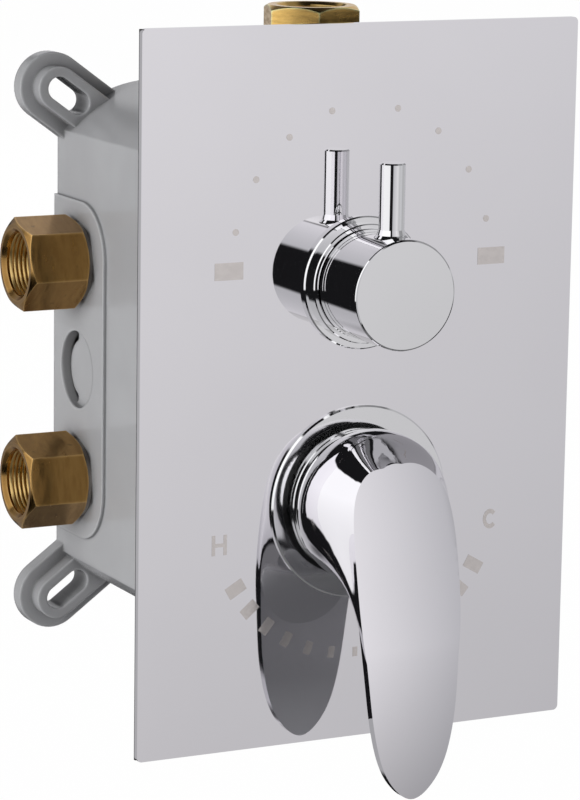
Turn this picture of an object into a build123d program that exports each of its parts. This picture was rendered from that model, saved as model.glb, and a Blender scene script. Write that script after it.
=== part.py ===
from build123d import *
import math
import os

# Concealed bath and shower valve: wall box, brass body, cover plate, diverter knob, lever.
# Millimetres. Origin: centre of the box's back face. +X right, +Z up, +Y into the wall.
# Depths are given as "out": the distance in front of the back face, so Y = -out.

# Cover plate
plate_w = 140.0
plate_h = 210.0
plate_t = 1.8
plate_corner_r = 1.5
plate_drop = 6.5
plate_out = 68.5
gasket_t = 3.0
gasket_edge = 2.0
gasket_band = 6.0

# Wall box
box_w = 132.0
box_h = 154.0
box_corner_r = 42.0
box_wall = 2.5
box_back = 3.0
pad_rise = 1.0
pad_h = 100.0
pad_reach = 36.0
pad_corner_r = 16.0
knock_r = 11.5
knock_slot = 2.8
knock_sweep = 130.0
knock_recess = 2.0
ear_x = 69.7
ear_z = 76.2
ear_angle = 36.0
ear_r = 10.2
ear_t = 5.0
ear_boss_r = 6.4
ear_boss_t = 5.0
ear_slot_r = 3.5
ear_slot_run = 7.5
screw_post_r = 5.5
screw_post_h = 2.0

# Axes and ports
knob_z = 23.9
lever_z = -40.6
port_rise = 2.5
side_port_out = 17.0
top_port_out = 33.8
waterway_r = 6.5
spigot_r = 12.8

# Threaded connectors
hex_af = 24.0
top_hex_af = 26.0
hex_len = 18.5
top_hex_len = 22.0
hex_turn_outlet = 15.0
hex_turn_inlet = 20.0
hex_turn_top = 12.0
thread_r = 9.3
thread_depth = 14.0
mouth_r = 10.5
shank_r = 10.0
shank_len = 19.0
seal_t = 1.0
seal_r = 11.6

# Body and cartridges
body_floor = 8.0
seat_out = 26.0
chamber_wall = 5.0
mixer_r = 20.0
mixer_neck_r = 14.2
mixer_top = 63.0
diverter_r = 17.5
diverter_neck_r = 10.6
diverter_top = 62.0
body_front = 50.0
shoulder_out = 44.0
base_seal_t = 2.0
nut_bore_deep = 6.0
nut_bore_step = 1.2
nut_rise = 8.0
nut_slot_w = 5.0
nut_slot_deep = 3.0
disc_t = 4.0
base_plate_t = 4.0
base_half_w = 30.0
screw_x = 24.0
screw_gap = 3.2
screw_r = 1.9
screw_head_r = 3.6
screw_head_t = 2.4

# Trim
ring_t = 1.2
lever_ring_margin = 5.9
dome_inset = 1.0
dome_len = 4.6
dome_groove = 0.5
dome_mouth_r = 13.0
knob_ring_r = 19.4
knob_ring_t = 1.5
sleeve_r = 17.4
sleeve_len = 2.2

# Diverter knob
knob_r = 15.9
knob_gap = 0.6
knob_out = 26.4
knob_wall = 3.0
pin_r = 3.75
pin_out = 17.06
pin_top = 36.6
pin_foot = 1.2
spindle_r = 4.4

# Lever
hub_r = 22.6
hub_gap = 0.5
hub_wall = 2.0
paddle_half = 16.2
paddle_top = 15.8
paddle_tip = 80.0
paddle_mid = 25.0
paddle_out_top = 24.0
paddle_out_mid = 34.3
paddle_out_tip = 36.8
neck_over = 1.6
face_over = 5.5
hub_swell = 4.5
hub_waist = 14.1
waist_drop = 26.5
waist_slope = 0.17
paddle_t = 2.8
paddle_crown_r = 150.0
neck_drop = 43.0
neck_run = 13.0
lever_ceiling = 19.0
lever_boss = 13.2
pivot_out = 60.0
stem_side = 8.0
stem_pin_r = 1.6

# Clearances
fit_gap = 0.3
run_gap = 0.08

os.makedirs("parts", exist_ok=True)


def save(node, shape):
    export_step(shape, "parts/" + node + ".step")


def turned(points):
    return revolve(Plane.XZ * make_face(Polyline(*points, close=True)), Axis.Z)


def turned_out(points, x, z):
    return Pos(x, 0, z) * Rot(90, 0, 0) * turned(points)


def rod_out(r, out0, out1, x=0.0, z=0.0):
    return Pos(x, -(out0 + out1) / 2, z) * Rot(90, 0, 0) * Cylinder(r, out1 - out0)


def rod_side(r, x0, x1, out, z):
    return Pos((x0 + x1) / 2, -out, z) * Rot(0, 90, 0) * Cylinder(r, abs(x1 - x0))


def rod_up(r, z0, z1, x, out):
    return Pos(x, -out, (z0 + z1) / 2) * Cylinder(r, z1 - z0)


def block(x0, x1, out0, out1, z0, z1):
    return Pos((x0 + x1) / 2, -(out0 + out1) / 2, (z0 + z1) / 2) * Box(x1 - x0, out1 - out0, z1 - z0)


def slab_out(sketch, out0, out1):
    return extrude(Plane.XZ.offset(out0) * sketch, amount=out1 - out0)


def slab_side(sketch, x0, x1):
    return extrude(Plane.YZ.offset(x0) * sketch, amount=x1 - x0)


plate_back = plate_out - plate_t
rim_out = plate_back - gasket_t
box_side = box_w / 2
pad_side = box_side + pad_rise
pad_top = box_h / 2 + pad_rise
outlet_z = knob_z + port_rise
inlet_z = lever_z + port_rise
port_mid = (outlet_z + inlet_z) / 2
screw_up = outlet_z + spigot_r + screw_head_r + screw_gap
screw_down = inlet_z - spigot_r - screw_head_r - screw_gap
shank_hole_r = shank_r + fit_gap
dome_r = hub_r - dome_inset
lever_ring_r = hub_r + lever_ring_margin


def box_outline(inset):
    span = box_h - 2 * inset
    rounded = RectangleRounded(span, span, box_corner_r - inset)
    return rounded & Rectangle(box_w - 2 * inset, span)


def ear_sketch(side, level, r, run):
    heading = math.degrees(math.atan2(-level * math.sin(math.radians(ear_angle)),
                                      -side * math.cos(math.radians(ear_angle))))
    shape = Circle(r) + Pos(run / 2, 0) * Rectangle(run, 2 * r)
    return Pos(side * ear_x, level * ear_z) * Rot(0, 0, heading) * shape


def ear_slot(side, level):
    heading = math.degrees(math.atan2(-level * math.sin(math.radians(ear_angle)),
                                      -side * math.cos(math.radians(ear_angle))))
    shape = Pos(ear_slot_run / 2, 0) * SlotCenterToCenter(ear_slot_run, 2 * ear_slot_r)
    return Pos(side * ear_x, level * ear_z) * Rot(0, 0, heading) * shape


def make_box():
    shape = slab_out(box_outline(0), 0, rim_out)
    pad = Pos(0, port_mid) * RectangleRounded(2 * pad_reach, pad_h, pad_corner_r)
    pad = pad & Pos(-pad_reach, port_mid) * Rectangle(2 * pad_reach, 2 * pad_h)
    shape += slab_side(pad, box_side - box_wall, pad_side)
    shape += slab_side(pad, -pad_side, -(box_side - box_wall))
    shape += rod_up(spigot_r + 4, box_h / 2 - box_wall, pad_top, 0, top_port_out)
    ear_run = 2.2 * ear_r
    for side in (-1, 1):
        for level in (-1, 1):
            shape += slab_out(ear_sketch(side, level, ear_r, ear_run), 0, ear_t)
            shape += slab_out(ear_sketch(side, level, ear_boss_r, ear_run), ear_t, ear_t + ear_boss_t)
    shape -= slab_out(box_outline(box_wall), box_back, rim_out + 1)
    for side in (-1, 1):
        for level in (-1, 1):
            shape -= slab_out(ear_slot(side, level), -1, ear_t + ear_boss_t + 1)
    for z in (outlet_z, inlet_z):
        shape -= rod_side(shank_hole_r, -pad_side - 1, -box_side + 2 * box_wall, side_port_out, z)
        shape -= rod_side(shank_hole_r, box_side - 2 * box_wall, pad_side + 1, side_port_out, z)
    shape -= rod_up(shank_hole_r, box_h / 2 - 2 * box_wall, pad_top + 1, 0, top_port_out)
    arc = CenterArc((-side_port_out, port_mid), knock_r - knock_slot / 2, -knock_sweep / 2, knock_sweep)
    slot = SlotArc(arc, knock_slot)
    shape -= slab_side(slot, -pad_side - 1, -box_side + 2 * box_wall)
    shape -= slab_side(slot, box_side - 2 * box_wall, pad_side + 1)
    shape -= rod_side(knock_r, -pad_side - 1, knock_recess - pad_side, side_port_out, port_mid)
    shape -= rod_side(knock_r, pad_side - knock_recess, pad_side + 1, side_port_out, port_mid)
    for x in (-screw_x, screw_x):
        for z in (screw_up, screw_down):
            shape += rod_out(screw_post_r, box_back - 0.5, box_back + screw_post_h, x, z)
            shape -= rod_out(screw_r + fit_gap, 1.0, box_back + screw_post_h + 1, x, z)
    return shape


base_out = box_back + screw_post_h
spigot_end = box_side - box_wall - 1.5
spigot_top = box_h / 2 - box_wall - 1.5
mixer_bore = mixer_r + fit_gap
diverter_bore = diverter_r + fit_gap


def make_body():
    shape = rod_out(mixer_bore + chamber_wall, body_floor, body_front, 0, lever_z)
    shape += rod_out(diverter_bore + chamber_wall, body_floor, body_front, 0, knob_z)
    shape += block(-14, 14, body_floor, seat_out + 4, lever_z, knob_z)
    shape += block(-base_half_w, base_half_w, base_out, base_out + base_plate_t, screw_down - 7, screw_up + 7)
    for z in (outlet_z, inlet_z):
        shape += rod_side(spigot_r, -spigot_end, spigot_end, side_port_out, z)
    shape += rod_up(spigot_r, knob_z, spigot_top, 0, top_port_out)
    shape -= rod_out(mixer_bore, seat_out, body_front + 1, 0, lever_z)
    shape -= rod_out(diverter_bore, seat_out, body_front + 1, 0, knob_z)
    shape -= rod_out(mixer_bore + nut_bore_step, body_front - nut_bore_deep, body_front + 1, 0, lever_z)
    shape -= rod_out(diverter_bore + nut_bore_step, body_front - nut_bore_deep, body_front + 1, 0, knob_z)
    socket = pad_side + seal_t - shank_len - fit_gap
    port_x = 9.0
    for side in (-1, 1):
        for z in (outlet_z, inlet_z):
            shape -= rod_side(shank_hole_r, side * socket, side * (spigot_end + 1), side_port_out, z)
            shape -= rod_side(waterway_r, side * port_x, side * spigot_end, side_port_out, z)
            shape -= rod_out(4.0, side_port_out, seat_out + 1, side * (port_x + 2), z)
    top_socket = pad_top + seal_t - shank_len - fit_gap
    shape -= rod_up(shank_hole_r, top_socket, spigot_top + 1, 0, top_port_out)
    shape -= rod_up(waterway_r, knob_z, spigot_top, 0, top_port_out)
    shape -= rod_out(4.0, side_port_out, seat_out + 1, 0, lever_z + 11)
    shape -= rod_up(4.0, lever_z + 9, knob_z, 0, side_port_out)
    shape -= rod_out(4.0, side_port_out, seat_out + 1, 0, knob_z)
    for x in (-screw_x, screw_x):
        for z in (screw_up, screw_down):
            shape -= rod_out(screw_r + fit_gap, base_out - 1, base_out + base_plate_t + 1, x, z)
    return shape


def make_connector(af, length, turn):
    corner_r = af / math.sqrt(3)
    face_r = af / 2 - 0.3
    slope = (corner_r - face_r) * 0.58
    envelope = turned([(0, 0), (face_r, 0), (corner_r, slope), (corner_r, length - slope),
                       (face_r, length), (0, length)])
    prism = extrude(Rot(0, 0, turn) * RegularPolygon(af / 2, 6, major_radius=False), amount=length)
    shape = prism & envelope
    shape += Pos(0, 0, 1 - shank_len / 2) * Cylinder(shank_r, shank_len - seal_t + 1)
    lead = mouth_r - thread_r
    bore_end = length - thread_depth
    shape -= turned([(0, -shank_len - 1), (waterway_r, -shank_len - 1), (waterway_r, bore_end),
                     (thread_r, bore_end), (thread_r, length - lead), (mouth_r, length),
                     (mouth_r, length + 1), (0, length + 1)])
    return shape


hex_start = pad_side + seal_t
top_hex_start = pad_top + seal_t


def make_seal(r):
    return Pos(0, 0, -seal_t / 2) * (Cylinder(r, seal_t) - Cylinder(shank_hole_r, seal_t + 1))


def side_place(side, z):
    return Pos(side * hex_start, -side_port_out, z) * Rot(0, side * 90, 0)


top_place = Pos(0, -top_port_out, top_hex_start)


def make_screw():
    shape = rod_out(screw_r, base_out - 3, base_out + base_plate_t + 1)
    shape += rod_out(screw_head_r, base_out + base_plate_t, base_out + base_plate_t + screw_head_t)
    cross = Rectangle(4.2, 0.9) + Rectangle(0.9, 4.2)
    return shape - slab_out(cross, base_out + base_plate_t + 1, base_out + base_plate_t + screw_head_t + 1)


casing_back = seat_out + base_seal_t
carrier_back = casing_back + 2 * disc_t
carrier_r = mixer_neck_r - 2.2


def make_mixer_casing():
    shape = rod_out(mixer_r, casing_back, shoulder_out, 0, lever_z)
    shape += rod_out(mixer_neck_r, shoulder_out - 1, mixer_top, 0, lever_z)
    shape -= rod_out(mixer_r - 2.5, casing_back - 1, carrier_back, 0, lever_z)
    shape -= rod_out(carrier_r + run_gap, carrier_back - 1, mixer_top + 1, 0, lever_z)
    return shape


def three_ports(x, up, r, out0, out1, z):
    holes = rod_out(r, out0, out1, -x, z + port_rise)
    holes += rod_out(r, out0, out1, x, z + port_rise)
    return holes + rod_out(r, out0, out1, 0, z + up)


def make_mixer_seal():
    plate = rod_out(mixer_r - 0.6, seat_out, casing_back, 0, lever_z)
    return plate - three_ports(11, 11, 3.4, seat_out - 1, casing_back + 1, lever_z)


def make_mixer_fixed_disc():
    plate = rod_out(mixer_r - 2.8, casing_back, casing_back + disc_t, 0, lever_z)
    return plate - three_ports(11, 11, 3.2, casing_back - 1, casing_back + disc_t + 1, lever_z)


def make_mixer_moving_disc():
    plate = rod_out(mixer_r - 4.5, casing_back + disc_t, carrier_back, 0, lever_z)
    pocket = slab_out(Pos(0, lever_z + 1) * Ellipse(11, 8), casing_back + disc_t - 1, carrier_back - 1.5)
    return plate - pocket


def make_carrier():
    shape = rod_out(carrier_r, carrier_back, mixer_top - 1, 0, lever_z)
    slot_w = stem_side + 2 * fit_gap
    shape -= block(-slot_w / 2, slot_w / 2, carrier_back + 3, mixer_top,
                   lever_z - carrier_r, lever_z + carrier_r)
    return shape - rod_side(stem_pin_r, -carrier_r - 1, carrier_r + 1, pivot_out, lever_z)


def make_stem_pin():
    return rod_side(stem_pin_r, -carrier_r + 0.5, carrier_r - 0.5, pivot_out, lever_z)


stem_end = plate_out + 23.0
stem_back = carrier_back + 12.0


def make_stem():
    half = stem_side / 2
    shape = block(-half, half, stem_back, stem_end, lever_z - half, lever_z + half)
    return shape - rod_side(stem_pin_r + run_gap, -stem_side, stem_side, pivot_out, lever_z)


def make_nut(neck_r, bore_r, collar_r, z):
    front = body_front + nut_rise
    foot_r = bore_r + nut_bore_step - fit_gap
    shape = rod_out(foot_r, body_front - nut_bore_deep + fit_gap, body_front, 0, z)
    shape += rod_out(collar_r, body_front - 1, front, 0, z)
    shape -= rod_out(neck_r + fit_gap, body_front - nut_bore_deep - 1, front + 1, 0, z)
    for turn in (0, 60, 120):
        slot = Pos(0, z) * Rot(0, 0, turn) * Rectangle(3 * collar_r, nut_slot_w)
        shape -= slab_out(slot, front - nut_slot_deep, front + 1)
    return shape


dome_base = plate_out + ring_t
dome_end = dome_base + dome_len
plate_lever_r = dome_r - 0.8
dome_skirt_r = plate_lever_r - 0.5
dome_inner_r = dome_skirt_r - 1.5


def make_dome():
    mid = (dome_base + dome_end) / 2
    groove_r = dome_r - dome_groove
    front_r = dome_r - 0.7
    profile = [(dome_skirt_r, body_front + 2), (dome_skirt_r, dome_base)]
    profile += [(dome_r - 0.4, dome_base), (dome_r, dome_base + 0.4)]
    profile += [(dome_r, mid - 0.5), (groove_r, mid - 0.3), (groove_r, mid + 0.3), (dome_r - 0.1, mid + 0.5)]
    profile += [(front_r + 0.3, dome_end - 1.2), (front_r - 0.9, dome_end), (dome_mouth_r, dome_end)]
    profile += [(dome_mouth_r, dome_end - 1.5), (dome_inner_r, dome_end - 1.5)]
    profile += [(dome_inner_r, body_front + 2)]
    return turned_out(profile, 0, lever_z)


def make_lever_ring():
    bore = dome_skirt_r + fit_gap
    profile = [(bore, plate_out), (lever_ring_r, plate_out), (lever_ring_r, plate_out + ring_t - 0.5)]
    profile += [(lever_ring_r - 0.5, plate_out + ring_t), (bore, plate_out + ring_t)]
    return turned_out(profile, 0, lever_z)


knob_tube_r = sleeve_r - 2.2
plate_knob_r = knob_tube_r + 0.5
knob_ring_front = plate_out + knob_ring_t
sleeve_front = knob_ring_front + sleeve_len
knob_back = sleeve_front + knob_gap
knob_front = plate_out + knob_out


def make_knob_sleeve():
    inner = knob_tube_r - 1.5
    profile = [(knob_tube_r, body_front + 2), (knob_tube_r, knob_ring_front), (sleeve_r, knob_ring_front)]
    profile += [(sleeve_r, sleeve_front - 0.3), (sleeve_r - 0.3, sleeve_front)]
    profile += [(inner, sleeve_front), (inner, body_front + 2)]
    return turned_out(profile, 0, knob_z)


def make_knob_ring():
    bore = knob_tube_r + fit_gap
    profile = [(bore, plate_out), (knob_ring_r, plate_out), (knob_ring_r, knob_ring_front - 0.4)]
    profile += [(knob_ring_r - 0.4, knob_ring_front), (bore, knob_ring_front)]
    return turned_out(profile, 0, knob_z)


def make_diverter_casing():
    shape = rod_out(diverter_r, casing_back, shoulder_out, 0, knob_z)
    shape += rod_out(diverter_neck_r, shoulder_out - 1, diverter_top, 0, knob_z)
    shape -= rod_out(diverter_r - 2.5, casing_back - 1, carrier_back + 6, 0, knob_z)
    shape -= rod_out(spindle_r + run_gap, carrier_back, diverter_top + 1, 0, knob_z)
    return shape - rod_up(waterway_r - 1, knob_z + diverter_r - 5, knob_z + diverter_r + 2, 0, top_port_out)


def make_diverter_seal():
    plate = rod_out(diverter_r - 0.6, seat_out, casing_back, 0, knob_z)
    plate -= rod_out(3.4, seat_out - 1, casing_back + 1, 0, knob_z)
    for side in (-1, 1):
        plate -= rod_out(3.4, seat_out - 1, casing_back + 1, side * 11, outlet_z)
    return plate


def make_diverter_fixed_disc():
    plate = rod_out(diverter_r - 2.8, casing_back, casing_back + disc_t, 0, knob_z)
    plate -= rod_out(3.2, casing_back - 1, casing_back + disc_t + 1, 0, knob_z)
    for side in (-1, 1):
        plate -= rod_out(2.9, casing_back - 1, casing_back + disc_t + 1, side * 10.5, outlet_z)
    return plate


def make_diverter_disc():
    plate = rod_out(diverter_r - 4.0, casing_back + disc_t, carrier_back, 0, knob_z)
    pocket = block(-3.5, 3.5, casing_back + disc_t - 1, carrier_back - 1.5, knob_z - 3, knob_z + diverter_r)
    return plate - pocket


spindle_end = knob_front - knob_wall - 2.0


def spindle_flat():
    flat = spindle_r - 1.2
    return block(-spindle_r, spindle_r, spindle_end - 9, spindle_end + 1,
                 knob_z + flat, knob_z + spindle_r + 1)


def make_spindle():
    shape = rod_out(diverter_r - 4.0, carrier_back, carrier_back + 4, 0, knob_z)
    shape += rod_out(spindle_r, carrier_back, spindle_end, 0, knob_z)
    return shape - spindle_flat()


def make_knob():
    edge = 0.5
    wall_r = knob_r - knob_wall
    hub_r_in = spindle_r + 3.0
    boss_back = knob_back + 4
    profile = [(wall_r, knob_back), (knob_r - 0.2, knob_back), (knob_r, knob_back + 0.2)]
    profile += [(knob_r, knob_front - edge)]
    profile += [(knob_r - 0.15, knob_front - 0.15), (knob_r - edge, knob_front), (0, knob_front)]
    profile += [(0, boss_back), (hub_r_in, boss_back), (hub_r_in, knob_front - knob_wall)]
    profile += [(wall_r, knob_front - knob_wall)]
    shape = turned_out(profile, 0, knob_z)
    shape -= rod_out(spindle_r, knob_back, spindle_end, 0, knob_z) - spindle_flat()
    pin_axis = plate_out + pin_out
    shape -= rod_up(pin_r - 1, knob_z + wall_r - 1, knob_z + knob_r + 1, 0, pin_axis)
    return shape - rod_up(1.6, knob_z - knob_r - 1, knob_z - spindle_r, 0, spindle_end - 4.5)


def make_knob_screw():
    shape = rod_up(1.6, knob_z - knob_r + 1.5, knob_z - spindle_r, 0, spindle_end - 4.5)
    key = Pos(0, -(spindle_end - 4.5), knob_z - knob_r + 1.5) * RegularPolygon(0.8, 6)
    return shape - extrude(key, amount=1.5)


def make_pin():
    pin_axis = plate_out + pin_out
    root = math.sqrt(knob_r ** 2 - pin_r ** 2) - 0.15
    profile = [(0, root), (pin_r + pin_foot, root), (pin_r + 0.35 * pin_foot, root + 0.7 * pin_foot)]
    profile += [(pin_r, root + 2 * pin_foot), (pin_r, pin_top - 0.4), (pin_r - 0.4, pin_top), (0, pin_top)]
    body = turned(profile)
    peg = Pos(0, 0, root - 1) * Cylinder(pin_r - 1, 3)
    shape = Pos(0, -pin_axis, knob_z) * (body + peg)
    keep = rod_up(pin_r - 1, knob_z, knob_z + 2 * knob_r, 0, pin_axis)
    return shape - (rod_out(knob_r, knob_back, knob_front, 0, knob_z) - keep)


hub_back = dome_end + hub_gap
face_slope = (paddle_out_mid - paddle_out_top) / (paddle_mid + paddle_top)
chord_slope = (paddle_out_tip - paddle_out_top) / (paddle_tip + paddle_top)


def oval(points):
    left = [(-x, v) for x, v in reversed(points) if x > 0]
    return make_face(Spline(*(points + left), periodic=True))


def egg(top, drop, half, level, full):
    points = [(0, top)]
    for step in range(1, 8):
        turn = math.radians(90 - 22.5 * step)
        rise = abs(math.sin(turn)) ** full
        reach = (top - level) * rise if step < 4 else -(level + drop) * rise
        points.append((half * math.cos(turn) ** full, level + reach))
    return oval(points + [(0, -drop)])


def face_region(depth):
    crown = Pos(0, paddle_crown_r - plate_out - paddle_out_mid, lever_z)
    start = paddle_crown_r - paddle_out_mid - depth
    high = 2 * paddle_top
    low = -1.2 * paddle_tip
    top_point = (start + paddle_out_top, paddle_top)
    tip_point = (start + paddle_out_tip, -paddle_tip)
    arc = ThreePointArc(top_point, (start + paddle_out_mid, -paddle_mid), tip_point)
    high_point = (start + paddle_out_top - (high - paddle_top) * face_slope, high)
    edge = arc + Polyline(tip_point, (start + paddle_out_tip, low), (20, low), (20, high),
                          high_point, top_point)
    return crown * revolve(Plane.XZ * make_face(edge), Axis.Z)


def paddle_outline():
    w = paddle_half
    span = paddle_top + paddle_tip
    shape = [(0.44, 0.023), (0.71, 0.056), (0.85, 0.09), (0.94, 0.147), (0.99, 0.22), (1.0, 0.307)]
    shape += [(0.98, 0.404), (0.94, 0.518), (0.885, 0.633), (0.82, 0.742)]
    shape += [(0.735, 0.823), (0.58, 0.905), (0.39, 0.957)]
    side = [(x * w, paddle_top - v * span) for x, v in shape]
    return oval([(0, paddle_top)] + side + [(0, -paddle_tip)])


def tilted(out, slope):
    return Plane(origin=(0, -out, lever_z), x_dir=(1, 0, 0), z_dir=(0, -1, slope))


def make_lever():
    base = egg(hub_r, hub_r, hub_r, 0, 1.0)
    swell = egg(1.005 * hub_r, 1.01 * hub_r, 1.01 * hub_r, 0, 1.0)
    waist = egg(0.88 * hub_r, waist_drop, 0.867 * hub_r, -0.2 * hub_r, 0.78)
    neck = egg(0.93 * paddle_top, neck_drop, 1.03 * paddle_half, -0.8 * paddle_half, 0.66)
    face = egg(0.73 * paddle_top, neck_drop + neck_run, 0.99 * paddle_half, -1.2 * paddle_half, 0.7)
    face_out = plate_out + paddle_out_top + paddle_top * chord_slope
    sections = [tilted(hub_back, 0) * base]
    sections += [tilted(hub_back + hub_swell, 0) * swell]
    sections += [tilted(hub_back + hub_waist, waist_slope) * waist]
    sections += [tilted(face_out + neck_over, chord_slope) * neck]
    sections += [tilted(face_out + face_over, chord_slope) * face]
    hub = loft(sections)
    prism = slab_out(Pos(0, lever_z) * paddle_outline(), hub_back, plate_out + paddle_out_tip + 8)
    front = face_region(0)
    shape = (prism & (front - face_region(paddle_t))) + (hub & front)
    inner = hub_r - hub_wall
    ceiling = plate_out + lever_ceiling
    cavity = [(0, hub_back - 1), (inner, hub_back - 1), (inner, hub_back + 1.5)]
    cavity += [(0.72 * inner, ceiling), (0, ceiling)]
    shape -= turned_out(cavity, 0, lever_z)
    boss = rod_out(stem_side, ceiling - (lever_ceiling - lever_boss), ceiling + 1, 0, lever_z)
    half = stem_side / 2 + 0.1
    socket = block(-half, half, hub_back - 1, stem_end + 0.2, lever_z - half, lever_z + half)
    shape = shape + boss - socket
    return shape - rod_up(1.6, lever_z - hub_r - 4, lever_z - stem_side / 2, 0, stem_end - 5)


def make_lever_screw():
    shape = rod_up(1.6, lever_z - hub_r + 3, lever_z - stem_side / 2, 0, stem_end - 5)
    key = Pos(0, -(stem_end - 5), lever_z - hub_r + 3) * RegularPolygon(0.8, 6)
    return shape - extrude(key, amount=1.5)


def make_plate():
    outline = RectangleRounded(plate_w, plate_h, plate_corner_r)
    plate = slab_out(Pos(0, -plate_drop) * outline, plate_back, plate_out)
    plate -= rod_out(plate_lever_r, plate_back - 1, plate_out + 1, 0, lever_z)
    return plate - rod_out(plate_knob_r, plate_back - 1, plate_out + 1, 0, knob_z)


def make_gasket():
    outer = Rectangle(plate_w - 2 * gasket_edge, plate_h - 2 * gasket_edge)
    inner = Rectangle(plate_w - 2 * (gasket_edge + gasket_band), plate_h - 2 * (gasket_edge + gasket_band))
    return slab_out(Pos(0, -plate_drop) * (outer - inner), rim_out, plate_back)


save("wall_box", make_box())
save("valve_body", make_body())
save("left_outlet", side_place(-1, outlet_z) * make_connector(hex_af, hex_len, 90 - hex_turn_outlet))
save("right_outlet", side_place(1, outlet_z) * make_connector(hex_af, hex_len, 90 + hex_turn_outlet))
save("hot_inlet", side_place(-1, inlet_z) * make_connector(hex_af, hex_len, 90 - hex_turn_inlet))
save("cold_inlet", side_place(1, inlet_z) * make_connector(hex_af, hex_len, 90 + hex_turn_inlet))
save("top_outlet", top_place * make_connector(top_hex_af, top_hex_len, hex_turn_top))
seals = [side_place(side, z) * make_seal(seal_r) for side in (-1, 1) for z in (outlet_z, inlet_z)]
save("connector_seals", Compound(children=seals + [top_place * make_seal(seal_r + 1)]))
screws = [Pos(x, 0, z) * make_screw() for x in (-screw_x, screw_x) for z in (screw_up, screw_down)]
save("body_screws", Compound(children=screws))
save("mixer_casing", make_mixer_casing())
save("mixer_seal", make_mixer_seal())
save("mixer_fixed_disc", make_mixer_fixed_disc())
save("mixer_moving_disc", make_mixer_moving_disc())
save("mixer_carrier", make_carrier())
save("stem_pin", make_stem_pin())
save("lever_stem", make_stem())
save("mixer_nut", make_nut(mixer_neck_r, mixer_bore, dome_inner_r - fit_gap, lever_z))
save("diverter_casing", make_diverter_casing())
save("diverter_seal", make_diverter_seal())
save("diverter_fixed_disc", make_diverter_fixed_disc())
save("diverter_disc", make_diverter_disc())
save("diverter_spindle", make_spindle())
save("diverter_nut", make_nut(diverter_neck_r, diverter_bore, knob_tube_r - 1.5 - fit_gap, knob_z))
save("cover_plate", make_plate())
save("plate_gasket", make_gasket())
save("lever_ring", make_lever_ring())
save("lever_dome", make_dome())
save("knob_ring", make_knob_ring())
save("knob_sleeve", make_knob_sleeve())
save("diverter_knob", make_knob())
save("diverter_pin", make_pin())
save("knob_screw", make_knob_screw())
save("lever_handle", make_lever())
save("lever_screw", make_lever_screw())
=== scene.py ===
import math

import bmesh
import bpy
from mathutils import Matrix, Vector


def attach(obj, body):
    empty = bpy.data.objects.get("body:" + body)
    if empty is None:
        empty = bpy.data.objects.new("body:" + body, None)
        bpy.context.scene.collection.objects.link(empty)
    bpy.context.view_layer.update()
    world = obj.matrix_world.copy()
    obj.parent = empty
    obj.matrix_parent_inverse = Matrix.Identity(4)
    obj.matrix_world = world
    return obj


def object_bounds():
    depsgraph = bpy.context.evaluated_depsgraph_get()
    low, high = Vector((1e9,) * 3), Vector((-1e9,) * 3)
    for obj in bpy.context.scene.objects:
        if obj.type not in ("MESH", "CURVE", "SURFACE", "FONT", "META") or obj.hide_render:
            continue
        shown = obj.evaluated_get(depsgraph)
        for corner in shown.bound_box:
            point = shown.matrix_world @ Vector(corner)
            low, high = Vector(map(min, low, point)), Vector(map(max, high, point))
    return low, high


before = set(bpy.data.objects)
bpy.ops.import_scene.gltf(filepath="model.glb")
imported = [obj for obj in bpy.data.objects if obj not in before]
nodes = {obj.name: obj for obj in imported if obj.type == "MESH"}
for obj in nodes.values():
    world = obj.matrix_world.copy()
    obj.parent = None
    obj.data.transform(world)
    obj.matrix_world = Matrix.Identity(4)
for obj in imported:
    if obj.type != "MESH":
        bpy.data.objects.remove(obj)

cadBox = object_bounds()
mm = 0.001
scene = bpy.context.scene
scene.view_settings.view_transform = "Standard"

# camera, standing where the photograph was taken from
cameraSetup = {"azimuth": -26.891, "elevation": 10.912, "roll": 0.893, "lens": 160.52, "sensor": 36,
               "aim": (-22.649 * mm, -68.5 * mm, -9.021 * mm), "distance": 1023.45 * mm}


def makeCamera(setup):
    az = math.radians(setup["azimuth"])
    el = math.radians(setup["elevation"])
    roll = math.radians(setup["roll"])
    back = Vector((math.sin(az) * math.cos(el), -math.cos(az) * math.cos(el), math.sin(el)))
    level = Vector((math.cos(az), math.sin(az), 0))
    rise = back.cross(level)
    right = level * math.cos(roll) + rise * math.sin(roll)
    up = rise * math.cos(roll) - level * math.sin(roll)
    data = bpy.data.cameras.new("photoCamera")
    data.lens = setup["lens"]
    data.sensor_width = setup["sensor"]
    camera = bpy.data.objects.new("photoCamera", data)
    scene.collection.objects.link(camera)
    turn = Matrix((right, up, back)).transposed().to_4x4()
    camera.matrix_world = Matrix.Translation(Vector(setup["aim"]) + back * setup["distance"]) @ turn
    scene.camera = camera


makeCamera(cameraSetup)
print("camera placed")


# node helpers: plain words for the few node kinds used here
def addNode(tree, kind, **settings):
    node = tree.nodes.new(kind)
    for name, value in settings.items():
        setattr(node, name, value)
    return node


def feed(tree, socket, source):
    if hasattr(source, "is_linked"):
        tree.links.new(source, socket)
    else:
        socket.default_value = source


def sums(tree, operation, first, second=0.0):
    node = addNode(tree, "ShaderNodeMath", operation=operation)
    feed(tree, node.inputs[0], first)
    feed(tree, node.inputs[1], second)
    return node.outputs[0]


def noise(tree, vector, scale, detail=3.0, rough=0.5):
    node = addNode(tree, "ShaderNodeTexNoise")
    feed(tree, node.inputs["Vector"], vector)
    node.inputs["Scale"].default_value = scale
    node.inputs["Detail"].default_value = detail
    node.inputs["Roughness"].default_value = rough
    return node.outputs["Fac"]


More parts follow.
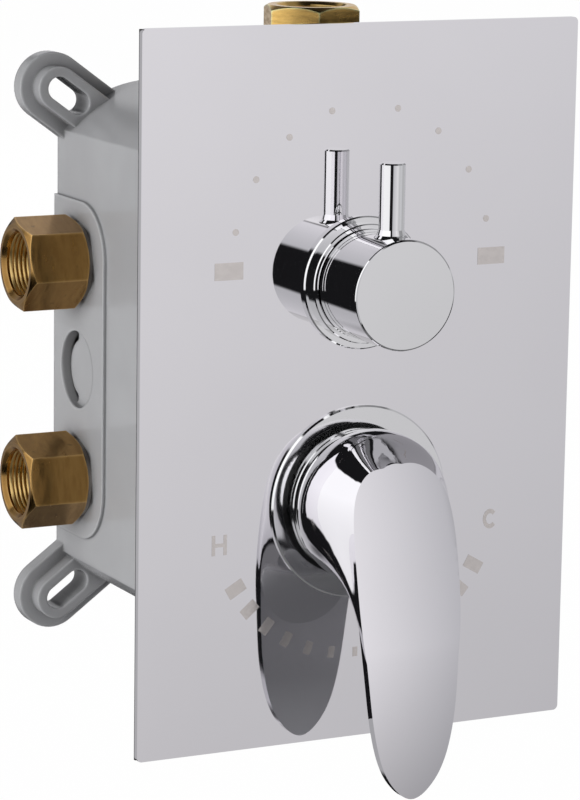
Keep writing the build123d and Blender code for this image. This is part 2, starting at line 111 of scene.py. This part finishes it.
def ramp(tree, value, low, high, outLow=0.0, outHigh=1.0, smooth=True):
    node = addNode(tree, "ShaderNodeMapRange", clamp=True)
    node.interpolation_type = "SMOOTHSTEP" if smooth else "LINEAR"
    feed(tree, node.inputs["Value"], value)
    node.inputs["From Min"].default_value = low
    node.inputs["From Max"].default_value = high
    node.inputs["To Min"].default_value = outLow
    node.inputs["To Max"].default_value = outHigh
    return node.outputs["Result"]


def blendColour(tree, share, first, second):
    node = addNode(tree, "ShaderNodeMix", data_type="RGBA")
    feed(tree, node.inputs[0], share)
    for socket, colour in ((node.inputs[6], first), (node.inputs[7], second)):
        feed(tree, socket, colour if hasattr(colour, "is_linked") else (*colour, 1.0))
    return node.outputs[2]


def placed(tree, scale=(1, 1, 1), move=(0, 0, 0)):
    where = addNode(tree, "ShaderNodeTexCoord").outputs["Object"]
    node = addNode(tree, "ShaderNodeMapping")
    tree.links.new(where, node.inputs["Vector"])
    node.inputs["Scale"].default_value = scale
    node.inputs["Location"].default_value = move
    return node.outputs["Vector"]


def bumpy(tree, shader, height, strength, distance):
    node = addNode(tree, "ShaderNodeBump")
    node.inputs["Strength"].default_value = strength
    node.inputs["Distance"].default_value = distance
    tree.links.new(height, node.inputs["Height"])
    tree.links.new(node.outputs["Normal"], shader.inputs["Normal"])


def scaled(colour, factor):
    factors = factor if isinstance(factor, tuple) else (factor,) * 3
    return tuple(min(1.0, c * f) for c, f in zip(colour, factors))


def newFinish(name):
    material = bpy.data.materials.new(name)
    material.use_nodes = True
    tree = material.node_tree
    return material, tree, tree.nodes["Principled BSDF"]


# polished metal: a faint cloud in its colour and blur, and a fine haze
polish = {"cloudScale": 18.0, "cloudSpan": (0.35, 0.7), "hazeScale": 900.0, "hazeShare": 0.3, "blurSpan": (0.3, 1.0)}


def polishedFinish(name, colour, blur, spread, smudge):
    material, tree, shader = newFinish(name)
    where = placed(tree)
    cloud = noise(tree, where, polish["cloudScale"], detail=4.0)
    fine = noise(tree, where, polish["hazeScale"], detail=2.0)
    smudged = ramp(tree, cloud, *polish["cloudSpan"])
    feed(tree, shader.inputs["Base Color"], blendColour(tree, smudged, colour, scaled(colour, smudge)))
    shader.inputs["Metallic"].default_value = 1.0
    haze = sums(tree, "ADD", cloud, sums(tree, "MULTIPLY", fine, polish["hazeShare"]))
    feed(tree, shader.inputs["Roughness"], ramp(tree, haze, *polish["blurSpan"], blur, blur + spread))
    return material


# the lever: polished in front, satin behind its paddle, and nearly black under its hub as painted shade
leverBack = {"axisHeight": -40.6 * mm, "hubShadeEdge": (22.2 * mm, 23.6 * mm), "facing": (0.45, 0.8),
             "paddleColour": (0.41, 0.415, 0.43), "hubShadeColour": (0.02, 0.02, 0.021),
             "roughness": 0.34, "metallic": 0.3}


def leverFinish(name, colour, blur, spread, smudge, rear):
    material = polishedFinish(name, colour, blur, spread, smudge)
    tree = material.node_tree
    shader = tree.nodes["Principled BSDF"]
    facing = addNode(tree, "ShaderNodeSeparateXYZ")
    tree.links.new(addNode(tree, "ShaderNodeTexCoord").outputs["Normal"], facing.inputs[0])
    away = addNode(tree, "ShaderNodeVectorMath", operation="LENGTH")
    tree.links.new(placed(tree, scale=(1, 0, 1), move=(0, 0, -rear["axisHeight"])), away.inputs[0])
    # painted shade: inside the hub's radius the back turns near black, for the hub's underside close to the plate
    outsideHubShade = ramp(tree, away.outputs["Value"], *rear["hubShadeEdge"])
    behind = ramp(tree, facing.outputs["Y"], *rear["facing"])
    back = blendColour(tree, outsideHubShade, rear["hubShadeColour"], rear["paddleColour"])
    front = shader.inputs["Base Color"].links[0].from_socket
    feed(tree, shader.inputs["Base Color"], blendColour(tree, behind, front, back))
    mixed = addNode(tree, "ShaderNodeMix", data_type="FLOAT")
    feed(tree, mixed.inputs[0], behind)
    feed(tree, mixed.inputs[2], shader.inputs["Roughness"].links[0].from_socket)
    feed(tree, mixed.inputs[3], rear["roughness"])
    feed(tree, shader.inputs["Roughness"], mixed.outputs[0])
    feed(tree, shader.inputs["Metallic"], ramp(tree, behind, 0.0, 1.0, 1.0, rear["metallic"]))
    return material


# how open a point is, outside for painted shade in recesses and inside for painted highlights on edges
def openness(tree, reach, inside=False):
    node = addNode(tree, "ShaderNodeAmbientOcclusion", samples=8, inside=inside)
    node.inputs["Distance"].default_value = reach
    return node.outputs["AO"]


def roundedEdges(tree, shader, radius):
    soft = addNode(tree, "ShaderNodeBevel", samples=6)
    soft.inputs["Radius"].default_value = radius
    bump = shader.inputs["Normal"].links[0].from_node
    tree.links.new(soft.outputs[0], bump.inputs["Normal"])


# moulded plastic: painted shade in its recesses, painted highlights on its edges and a fine grain
moulding = {"cloudScale": 25.0, "cloudSpan": (0.3, 0.7), "light": 1.05, "dark": 0.94,
            "recessReach": 9 * mm, "recessSpan": (0.28, 0.90), "recessShade": 0.40,
            "edgeReach": 1 * mm, "edgeSpan": (0.5, 0.92), "edgeShare": 0.7, "edgeHighlight": 1.5, "edgeRadius": 1.2 * mm,
            "grainScale": 1800.0, "grainSpan": (0.3, 0.7), "grainDepth": 0.06 * mm,
            "glossSpread": (0.05, 0.06), "bending": 1.49}


def plasticFinish(name, colour, gloss, grain):
    look = moulding
    material, tree, shader = newFinish(name)
    where = placed(tree)
    cloud = ramp(tree, noise(tree, where, look["cloudScale"]), *look["cloudSpan"])
    fine = noise(tree, where, look["grainScale"], detail=2.0)
    plain = blendColour(tree, cloud, scaled(colour, look["light"]), scaled(colour, look["dark"]))
    # painted shade: the colour darkens where nearby surfaces close the point in
    recess = ramp(tree, openness(tree, look["recessReach"]), *look["recessSpan"], 1.0, 0.0)
    recessShaded = blendColour(tree, recess, plain, scaled(colour, look["recessShade"]))
    # painted highlight: the colour lightens along sharp edges
    edge = ramp(tree, openness(tree, look["edgeReach"], True), *look["edgeSpan"], look["edgeShare"], 0.0)
    feed(tree, shader.inputs["Base Color"], blendColour(tree, edge, recessShaded, scaled(colour, look["edgeHighlight"])))
    smoothest, roughest = gloss - look["glossSpread"][0], gloss + look["glossSpread"][1]
    feed(tree, shader.inputs["Roughness"], ramp(tree, fine, *look["grainSpan"], smoothest, roughest))
    shader.inputs["IOR"].default_value = look["bending"]
    bumpy(tree, shader, fine, grain, look["grainDepth"])
    roundedEdges(tree, shader, look["edgeRadius"])
    return material


# machined brass: tool streaks, a mottled cloud, dark specks and painted highlights on its edges
machining = {"cloudScale": 60.0, "cloudSpan": (0.40, 0.85), "cloudShare": 0.6,
             "streakSpan": (0.35, 0.75), "streakShare": 0.35, "streakBump": 0.05, "streakDepth": 0.03 * mm,
             "speckScale": 380.0, "speckSpan": (0.66, 0.76),
             # bright is the colour factor of the painted edge highlights
             "dark": (0.60, 0.52, 0.42), "spot": 0.2, "bright": (2.0, 2.2, 2.6),
             "edgeReach": 0.8 * mm, "edgeSpan": (0.66, 0.97),
             "glossSpan": (0.2, 0.8), "glossSpread": (0.06, 0.1)}


def brassFinish(name, colour, gloss, stretch, specks):
    look = machining
    material, tree, shader = newFinish(name)
    where = placed(tree)
    streak = noise(tree, placed(tree, scale=stretch), 1.0, detail=4.0, rough=0.6)
    cloud = noise(tree, where, look["cloudScale"], detail=4.0, rough=0.55)
    speck = noise(tree, where, look["speckScale"], detail=2.0)
    dark = scaled(colour, look["dark"])
    mottled = blendColour(tree, ramp(tree, cloud, *look["cloudSpan"], 0.0, look["cloudShare"]), colour, dark)
    drawn = blendColour(tree, ramp(tree, streak, *look["streakSpan"], 0.0, look["streakShare"]), mottled, dark)
    speckled = ramp(tree, speck, *look["speckSpan"], 0.0, specks)
    spotted = blendColour(tree, speckled, drawn, scaled(colour, look["spot"]))
    # painted highlight: the colour lightens along sharp edges
    edge = ramp(tree, openness(tree, look["edgeReach"], True), *look["edgeSpan"], 1.0, 0.0)
    feed(tree, shader.inputs["Base Color"], blendColour(tree, edge, spotted, scaled(colour, look["bright"])))
    shader.inputs["Metallic"].default_value = 1.0
    smoothest, roughest = gloss - look["glossSpread"][0], gloss + look["glossSpread"][1]
    feed(tree, shader.inputs["Roughness"], ramp(tree, streak, *look["glossSpan"], smoothest, roughest))
    bumpy(tree, shader, streak, look["streakBump"], look["streakDepth"])
    return material


# rubber: dull, slightly clouded and grainy
dullRubber = {"cloudScale": 40.0, "cloudSpan": (0.4, 0.7), "pale": 1.8, "roughness": (0.6, 0.8),
              "grainScale": 1500.0, "grainSpan": (0.3, 0.7), "grain": 0.3, "grainDepth": 0.1 * mm}


def rubberFinish(name, colour):
    look = dullRubber
    material, tree, shader = newFinish(name)
    where = placed(tree)
    fine = noise(tree, where, look["grainScale"])
    cloud = ramp(tree, noise(tree, where, look["cloudScale"]), *look["cloudSpan"])
    feed(tree, shader.inputs["Base Color"], blendColour(tree, cloud, colour, scaled(colour, look["pale"])))
    feed(tree, shader.inputs["Roughness"], ramp(tree, fine, *look["grainSpan"], *look["roughness"]))
    bumpy(tree, shader, fine, look["grain"], look["grainDepth"])
    return material


# the etched marks: matt metal, a little warmer than the plate
etching = {"cloudScale": 500.0, "cloudSpan": (0.35, 0.7), "pale": 1.06, "metallic": 0.86,
           "grainScale": 2500.0, "grainSpan": (0.3, 0.7), "roughness": (0.14, 0.22)}


def etchedFinish(name, colour):
    look = etching
    material, tree, shader = newFinish(name)
    where = placed(tree)
    fine = noise(tree, where, look["grainScale"], detail=2.0)
    cloud = ramp(tree, noise(tree, where, look["cloudScale"]), *look["cloudSpan"])
    feed(tree, shader.inputs["Base Color"], blendColour(tree, cloud, colour, scaled(colour, look["pale"])))
    shader.inputs["Metallic"].default_value = look["metallic"]
    feed(tree, shader.inputs["Roughness"], ramp(tree, fine, *look["grainSpan"], *look["roughness"]))
    return material


# one finish for each material slot; stretch is how close the streaks lie along x, y and z
finishes = {
    "mirror_plate": polishedFinish("mirrorPlateFinish", (0.935, 0.920, 0.945), blur=0.012, spread=0.02, smudge=0.985),
    "chrome_trim": polishedFinish("chromeFinish", (0.93, 0.93, 0.935), blur=0.018, spread=0.03, smudge=0.98),
    "brass": brassFinish("brassFinish", (0.385, 0.220, 0.069), gloss=0.19, stretch=(700, 160, 160), specks=0.45),
    "grey_plastic": plasticFinish("boxPlasticFinish", (0.388, 0.390, 0.400), gloss=0.17, grain=0.12),
    "white_plastic": plasticFinish("cartridgePlasticFinish", (0.75, 0.75, 0.72), gloss=0.42, grain=0.25),
    "ceramic": plasticFinish("ceramicFinish", (0.82, 0.80, 0.76), gloss=0.22, grain=0.08),
    "black_rubber": rubberFinish("rubberFinish", (0.02, 0.02, 0.021)),
    "steel": polishedFinish("steelFinish", (0.55, 0.55, 0.57), blur=0.22, spread=0.12, smudge=0.9),
}
# painted light: the top port is the same brass given a far lighter colour, as a lit copy
topPortLitBrass = brassFinish("topPortLitBrassFinish", (0.98, 0.64, 0.20), gloss=0.20, stretch=(160, 160, 700), specks=0.35)
threadBrass = brassFinish("threadBrassFinish", (0.40, 0.255, 0.085), gloss=0.30, stretch=(60, 60, 60), specks=0.0)
sealRubber = rubberFinish("sealRubberFinish", (0.22, 0.205, 0.19))
ringChrome = polishedFinish("ringChromeFinish", (0.93, 0.93, 0.935), blur=0.07, spread=0.03, smudge=0.97)
leverChrome = leverFinish("leverChromeFinish", (0.845, 0.832, 0.862), blur=0.018, spread=0.03, smudge=0.98,
                          rear=leverBack)
etched = etchedFinish("etchedMarkFinish", (0.79, 0.742, 0.715))

# pieces with a finish of their own
ownFinish = {"lever_handle": leverChrome, "lever_ring": ringChrome,
             "top_outlet": topPortLitBrass, "connector_seals": sealRubber}
for name, node in nodes.items():
    for slot in node.material_slots:
        key = next(k for k in finishes if k in slot.material.name)
        slot.material = ownFinish.get(name, finishes[key])
print("finishes set")


# new pieces, all on the part that stays still; smooth is the angle up to which edges are shaded round
def addPiece(name, bm, material, smooth, body="fixed"):
    bmesh.ops.remove_doubles(bm, verts=bm.verts, dist=1e-7)
    bmesh.ops.recalc_face_normals(bm, faces=bm.faces)
    mesh = bpy.data.meshes.new(name)
    bm.to_mesh(mesh)
    bm.free()
    mesh.materials.append(material)
    piece = bpy.data.objects.new(name, mesh)
    scene.collection.objects.link(piece)
    if smooth:
        mesh.shade_smooth()
        mesh.set_sharp_from_angle(angle=math.radians(smooth))
    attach(piece, body)


# etched marks on the plate: dots and bars round the knob, blocks and letters round the lever, in mm
plateMarks = {"front": -68.5, "depth": 0.04, "dotRadius": 1.0, "dotSides": 32,
              "dots": [(10.63, 73.73), (24.06, 66.72), (34.41, 55.13), (40.61, 40.41)],
              "bars": (42.59, 29.36), "barSize": (9.0, 5.0),
              "letters": (44.61, -49.86), "letterSize": (4.8, 6.0), "stroke": 1.1, "gap": 42, "curveSteps": 28,
              "leverCentre": -40.6, "blockRing": 45.3, "blockStep": 10.0, "blockCount": 6,
              "blockEnd": (6.0, 3.8), "blockMiddle": (2.9, 1.6)}


def raiseMarks(bm, depth):
    faces = bm.faces[:]
    bmesh.ops.recalc_face_normals(bm, faces=faces)
    out = bmesh.ops.extrude_face_region(bm, geom=faces)
    moved = [v for v in out["geom"] if isinstance(v, bmesh.types.BMVert)]
    bmesh.ops.translate(bm, verts=moved, vec=(0, -depth * mm, 0))


def standUp(bm, verts, x, z, turn=0.0):
    bmesh.ops.rotate(bm, verts=verts, cent=(0, 0, 0), matrix=Matrix.Rotation(math.radians(90), 3, "X"))
    bmesh.ops.rotate(bm, verts=verts, cent=(0, 0, 0), matrix=Matrix.Rotation(math.radians(turn), 3, "Y"))
    bmesh.ops.translate(bm, verts=verts, vec=(x * mm, plateMarks["front"] * mm, z * mm))


def flatBlock(bm, x, z, wide, high, turn=0.0):
    made = bmesh.ops.create_grid(bm, x_segments=1, y_segments=1, size=0.5)["verts"]
    bmesh.ops.scale(bm, verts=made, vec=(wide * mm, high * mm, 1))
    standUp(bm, made, x, z, turn)


def letterC(bm, x, z, wide, high, stroke, gap, steps):
    start = [bm.verts.new((0.5, 0, 0)), bm.verts.new((0.5 - stroke / wide, 0, 0))]
    line = bm.edges.new(start)
    bmesh.ops.rotate(bm, verts=start, cent=(0, 0, 0), matrix=Matrix.Rotation(math.radians(gap), 3, "Z"))
    bmesh.ops.spin(bm, geom=start + [line], cent=(0, 0, 0), axis=(0, 0, 1),
                   angle=math.radians(360 - 2 * gap), steps=steps)
    bmesh.ops.scale(bm, verts=bm.verts, vec=(wide * mm, high * mm, 1))
    standUp(bm, bm.verts[:], x, z)


def makeMarks(marks):
    bm = bmesh.new()
    for side in (-1, 1):
        for x, z in marks["dots"]:
            dot = bmesh.ops.create_circle(bm, cap_ends=True, radius=marks["dotRadius"] * mm,
                                          segments=marks["dotSides"])["verts"]
            standUp(bm, dot, side * x, z)
        flatBlock(bm, side * marks["bars"][0], marks["bars"][1], *marks["barSize"])
    for step in range(-marks["blockCount"], marks["blockCount"] + 1):
        share = abs(step) / marks["blockCount"]
        tall = marks["blockMiddle"][0] + (marks["blockEnd"][0] - marks["blockMiddle"][0]) * share
        wide = marks["blockMiddle"][1] + (marks["blockEnd"][1] - marks["blockMiddle"][1]) * share
        turn = math.radians(step * marks["blockStep"])
        flatBlock(bm, math.sin(turn) * marks["blockRing"],
                  marks["leverCentre"] - math.cos(turn) * marks["blockRing"], wide, tall,
                  -step * marks["blockStep"])
    raiseMarks(bm, marks["depth"])
    addPiece("plate_marks", bm, etched, smooth=0)

    # letters at the hot and cold ends of the scale
    wide, high = marks["letterSize"]
    stroke = marks["stroke"]
    x, z = marks["letters"]
    bm = bmesh.new()
    for side in (-1, 1):
        flatBlock(bm, -x + side * (wide - stroke) / 2, z, stroke, high)
    flatBlock(bm, -x, z, wide - 2 * stroke, stroke)
    raiseMarks(bm, marks["depth"])
    addPiece("hot_letter", bm, etched, smooth=0)
    bm = bmesh.new()
    letterC(bm, x, z, wide, high, stroke, marks["gap"], marks["curveSteps"])
    raiseMarks(bm, marks["depth"])
    addPiece("cold_letter", bm, etched, smooth=0)


makeMarks(plateMarks)
print("plate marks made")

# black strip behind the rim of the plate, painted shade put in as a guess for the dark shadow line seen there, in mm
shadowStrip = {"half": (69.75, 104.75), "centre": -6.5, "inner": (68.05, 103.05), "front": -66.68, "thick": 0.9}


def makeShadowStrip(strip):
    bm = bmesh.new()
    frameFace = bmesh.ops.create_grid(bm, x_segments=1, y_segments=1, size=1.0)["verts"]
    bmesh.ops.scale(bm, verts=frameFace, vec=(strip["half"][0] * mm, strip["half"][1] * mm, 1))
    bmesh.ops.rotate(bm, verts=frameFace, cent=(0, 0, 0), matrix=Matrix.Rotation(math.radians(90), 3, "X"))
    bmesh.ops.translate(bm, verts=frameFace, vec=(0, strip["front"] * mm, strip["centre"] * mm))
    band = (strip["half"][0] - strip["inner"][0]) * mm
    middle = bm.faces[:]
    bmesh.ops.inset_region(bm, faces=middle, thickness=band, use_boundary=True, use_even_offset=True)
    bmesh.ops.delete(bm, geom=middle, context="FACES_ONLY")
    out = bmesh.ops.extrude_face_region(bm, geom=bm.faces[:])
    moved = [v for v in out["geom"] if isinstance(v, bmesh.types.BMVert)]
    bmesh.ops.translate(bm, verts=moved, vec=(0, strip["thick"] * mm, 0))
    # painted shade: the strip is black rubber standing in for the shadow at the plate's rim
    addPiece("plate_shadow_strip", bm, finishes["black_rubber"], smooth=0)


makeShadowStrip(shadowStrip)
print("foam strip laid")

# pipe threads inside the five brass ports, in mm; foot, flat and runOut are shares of a ridge
pipeThread = {"pitch": 1.34, "root": 9.36, "crest": 8.86, "foot": 0.49, "flat": 0.12, "run": 12.3,
              "runOut": 0.06, "stepsPerTurn": 48,
              "ports": {"left_outlet": ((-72.8, -17.0, 26.4), (-1, 0, 0)),
                        "right_outlet": ((72.8, -17.0, 26.4), (1, 0, 0)),
                        "hot_inlet": ((-72.8, -17.0, -38.1), (-1, 0, 0)),
                        "cold_inlet": ((72.8, -17.0, -38.1), (1, 0, 0)),
                        "top_outlet": ((0, -33.8, 87.3), (0, 0, 1))}}


def makeThread(port, start, axis, cut):
    bm = bmesh.new()
    pitch, run = cut["pitch"], cut["run"]
    profile = [(cut["root"], -cut["foot"]), (cut["crest"], -cut["flat"]),
               (cut["crest"], cut["flat"]), (cut["root"], cut["foot"])]
    ring = [bm.verts.new((r * mm, 0, share * pitch * mm)) for r, share in profile]
    lines = [bm.edges.new((ring[i], ring[(i + 1) % 4])) for i in range(4)]
    steps = round(run / pitch * cut["stepsPerTurn"])
    swept = bmesh.ops.spin(bm, geom=ring + lines, cent=(0, 0, 0), axis=(0, 0, 1),
                           dvec=(0, 0, run * mm / steps), angle=math.tau * run / pitch, steps=steps)
    bm.faces.new(ring)
    bm.faces.new([v for v in swept["geom_last"] if isinstance(v, bmesh.types.BMVert)])
    # the ridge fades over its first and last turn
    for vert in bm.verts:
        flatPlace = Vector((vert.co.x, vert.co.y, 0))
        share = min(1.0, max(0.0, min(vert.co.z, run * mm - vert.co.z) / (pitch * mm)))
        height = cut["runOut"] + (1 - cut["runOut"]) * share
        radius = cut["root"] * mm - (cut["root"] * mm - flatPlace.length) * height
        vert.co = flatPlace.normalized() * radius + Vector((0, 0, vert.co.z))
    turn = Vector((0, 0, 1)).rotation_difference(Vector(axis)).to_matrix().to_4x4()
    bmesh.ops.transform(bm, matrix=Matrix.Translation(Vector(start) * mm) @ turn, verts=bm.verts)
    addPiece(port + "_thread", bm, threadBrass, smooth=50)


for port, (start, axis) in pipeThread["ports"].items():
    makeThread(port, start, axis, pipeThread)
print("threads cut")

# floor: white to the camera, left out of what polished metal sees
studio = {"floorDrop": 0.03, "floorSize": 3.0, "floorColour": (0.92, 0.92, 0.92, 1), "brightShare": 0.99}


def polishedRay(tree, path):
    return sums(tree, "MAXIMUM", path.outputs["Is Glossy Ray"], path.outputs["Is Transmission Ray"])


def makeFloor(setup):
    bm = bmesh.new()
    bmesh.ops.create_grid(bm, x_segments=1, y_segments=1, size=setup["floorSize"])
    mesh = bpy.data.meshes.new("floor")
    bm.to_mesh(mesh)
    bm.free()
    floor = bpy.data.objects.new("floor", mesh)
    scene.collection.objects.link(floor)
    floor.location.z = cadBox[0].z - setup["floorDrop"]
    material = bpy.data.materials.new("floorFinish")
    material.use_nodes = True
    tree = material.node_tree
    tree.nodes.clear()
    out = addNode(tree, "ShaderNodeOutputMaterial")
    path = addNode(tree, "ShaderNodeLightPath")
    matte = addNode(tree, "ShaderNodeBsdfDiffuse")
    matte.inputs["Color"].default_value = setup["floorColour"]
    bright = addNode(tree, "ShaderNodeEmission")
    clear = addNode(tree, "ShaderNodeBsdfTransparent")
    lit = addNode(tree, "ShaderNodeMixShader")
    lit.inputs[0].default_value = setup["brightShare"]
    tree.links.new(matte.outputs[0], lit.inputs[1])
    tree.links.new(bright.outputs[0], lit.inputs[2])
    seen = addNode(tree, "ShaderNodeMixShader")
    tree.links.new(path.outputs["Is Camera Ray"], seen.inputs[0])
    tree.links.new(matte.outputs[0], seen.inputs[1])
    tree.links.new(lit.outputs[0], seen.inputs[2])
    mirrored = addNode(tree, "ShaderNodeMixShader")
    tree.links.new(polishedRay(tree, path), mirrored.inputs[0])
    tree.links.new(seen.outputs[0], mirrored.inputs[1])
    tree.links.new(clear.outputs[0], mirrored.inputs[2])
    tree.links.new(mirrored.outputs[0], out.inputs["Surface"])
    mesh.materials.append(material)


# what polished metal sees around the object: panels and dark gaps, in degrees from straight ahead.
# left and right colour a panel's two ends, low dims its lower edge, lean slants its right end
studioPanels = {
    "surround": (0.009, 0.009, 0.010),
    "fill": (0.24, 0.24, 0.245),
    "panels": [
        {"azimuth": (-400, 400), "elevation": (-120, -36), "soft": 3,
         "left": (0.16, 0.16, 0.165), "right": (0.16, 0.16, 0.165)},
        {"azimuth": (48, 112), "elevation": (44, 66), "soft": 4,
         "left": (0.24, 0.24, 0.25), "right": (0.24, 0.24, 0.25)},
        {"azimuth": (-126, -43), "elevation": (-13, 51), "soft": 1.2, "lean": 0.36, "low": 0.8,
         "left": (1.15, 1.15, 1.16), "right": (1.10, 1.10, 1.12)},
        {"azimuth": (-20, 14), "elevation": (-30, 30.5), "soft": 1.5, "low": 0.85,
         "left": (0.52, 0.52, 0.54), "right": (0.74, 0.73, 0.76)},
        {"azimuth": (14, 43), "elevation": (-30, 24), "soft": 1.0, "low": 0.5,
         "left": (0.875, 0.865, 0.88), "right": (0.53, 0.53, 0.55)},
        {"azimuth": (43, 74), "elevation": (-16, 5), "soft": 2,
         "left": (0.60, 0.60, 0.62), "right": (0.52, 0.52, 0.54)},
        {"azimuth": (43, 73), "elevation": (5, 62), "soft": 3,
         "left": (0.33, 0.33, 0.34), "right": (0.28, 0.28, 0.29)},
        {"azimuth": (74, 108), "elevation": (-14, 42), "soft": 4,
         "left": (0.45, 0.45, 0.46), "right": (0.50, 0.50, 0.52)},
        {"azimuth": (108, 172), "elevation": (-14, 48), "soft": 4,
         "left": (0.55, 0.55, 0.57), "right": (0.75, 0.75, 0.77)},
        {"azimuth": (-176, -130), "elevation": (-80, 40), "soft": 4,
         "left": (0.42, 0.42, 0.43), "right": (0.40, 0.40, 0.41)},
    ],
}


def panelShare(tree, azimuth, elevation, panel):
    soft = panel["soft"]
    leaned = sums(tree, "SUBTRACT", azimuth, sums(tree, "MULTIPLY", elevation, panel.get("lean", 0.0)))
    share = 1.0
    sides = ((azimuth, panel["azimuth"][0], 0.0, 1.0), (leaned, panel["azimuth"][1], 1.0, 0.0),
             (elevation, panel["elevation"][0], 0.0, 1.0), (elevation, panel["elevation"][1], 1.0, 0.0))
    for value, edge, outLow, outHigh in sides:
        share = sums(tree, "MULTIPLY", ramp(tree, value, edge - soft, edge + soft, outLow, outHigh), share)
    return share


def makeWorld(setup):
    world = bpy.data.worlds.new("studioWorld")
    scene.world = world
    world.use_nodes = True
    tree = world.node_tree
    tree.nodes.clear()
    out = addNode(tree, "ShaderNodeOutputWorld")
    parts = addNode(tree, "ShaderNodeSeparateXYZ")
    tree.links.new(addNode(tree, "ShaderNodeTexCoord").outputs["Generated"], parts.inputs[0])
    ahead = sums(tree, "MULTIPLY", parts.outputs["Y"], -1.0)
    azimuth = sums(tree, "DEGREES", sums(tree, "ARCTAN2", parts.outputs["X"], ahead))
    elevation = sums(tree, "DEGREES", sums(tree, "ARCSINE", parts.outputs["Z"]))
    colour = setup["surround"]
    for panel in setup["panels"]:
        share = panelShare(tree, azimuth, elevation, panel)
        across = ramp(tree, azimuth, *panel["azimuth"], smooth=False)
        tone = blendColour(tree, across, panel["left"], panel["right"])
        if "low" in panel:
            low, high = panel["elevation"]
            level = ramp(tree, elevation, low, low + 0.5 * (high - low), panel["low"], 1.0, smooth=False)
            tone = blendColour(tree, level, (0, 0, 0), tone)
        colour = blendColour(tree, share, colour, tone)
    mirrored = addNode(tree, "ShaderNodeBackground")
    feed(tree, mirrored.inputs["Color"], colour)
    plain = addNode(tree, "ShaderNodeBackground")
    plain.inputs["Color"].default_value = (*setup["fill"], 1)
    white = addNode(tree, "ShaderNodeBackground")
    white.inputs["Color"].default_value = (1, 1, 1, 1)
    path = addNode(tree, "ShaderNodeLightPath")
    glossy = addNode(tree, "ShaderNodeMixShader")
    tree.links.new(polishedRay(tree, path), glossy.inputs[0])
    tree.links.new(plain.outputs[0], glossy.inputs[1])
    tree.links.new(mirrored.outputs[0], glossy.inputs[2])
    seen = addNode(tree, "ShaderNodeMixShader")
    tree.links.new(path.outputs["Is Camera Ray"], seen.inputs[0])
    tree.links.new(glossy.outputs[0], seen.inputs[1])
    tree.links.new(white.outputs[0], seen.inputs[2])
    tree.links.new(seen.outputs[0], out.inputs["Surface"])


# soft lamps, which polished metal doesn't mirror
lamps = {"keyLamp": {"place": (-1.55, -0.4, 0.22), "aim": (0, -0.05, 0), "size": (0.9, 1.1), "power": 21},
         "fillLamp": {"place": (1.3, -1.1, 0.7), "aim": (0, -0.05, 0), "size": (1.0, 1.0), "power": 5},
         "backLamp": {"place": (0.5, 1.6, 0.6), "aim": (0, -0.02, 0), "size": (1.0, 1.0), "power": 8}}


def addLamp(name, place, aim, size, power):
    data = bpy.data.lights.new(name, "AREA")
    data.shape = "RECTANGLE"
    data.size, data.size_y = size
    data.energy = power
    lamp = bpy.data.objects.new(name, data)
    scene.collection.objects.link(lamp)
    lamp.location = place
    lamp.rotation_euler = (Vector(aim) - Vector(place)).to_track_quat("-Z", "Y").to_euler()
    lamp.visible_glossy = False


makeFloor(studio)
makeWorld(studioPanels)
for name, values in lamps.items():
    addLamp(name, **values)
print("studio set")
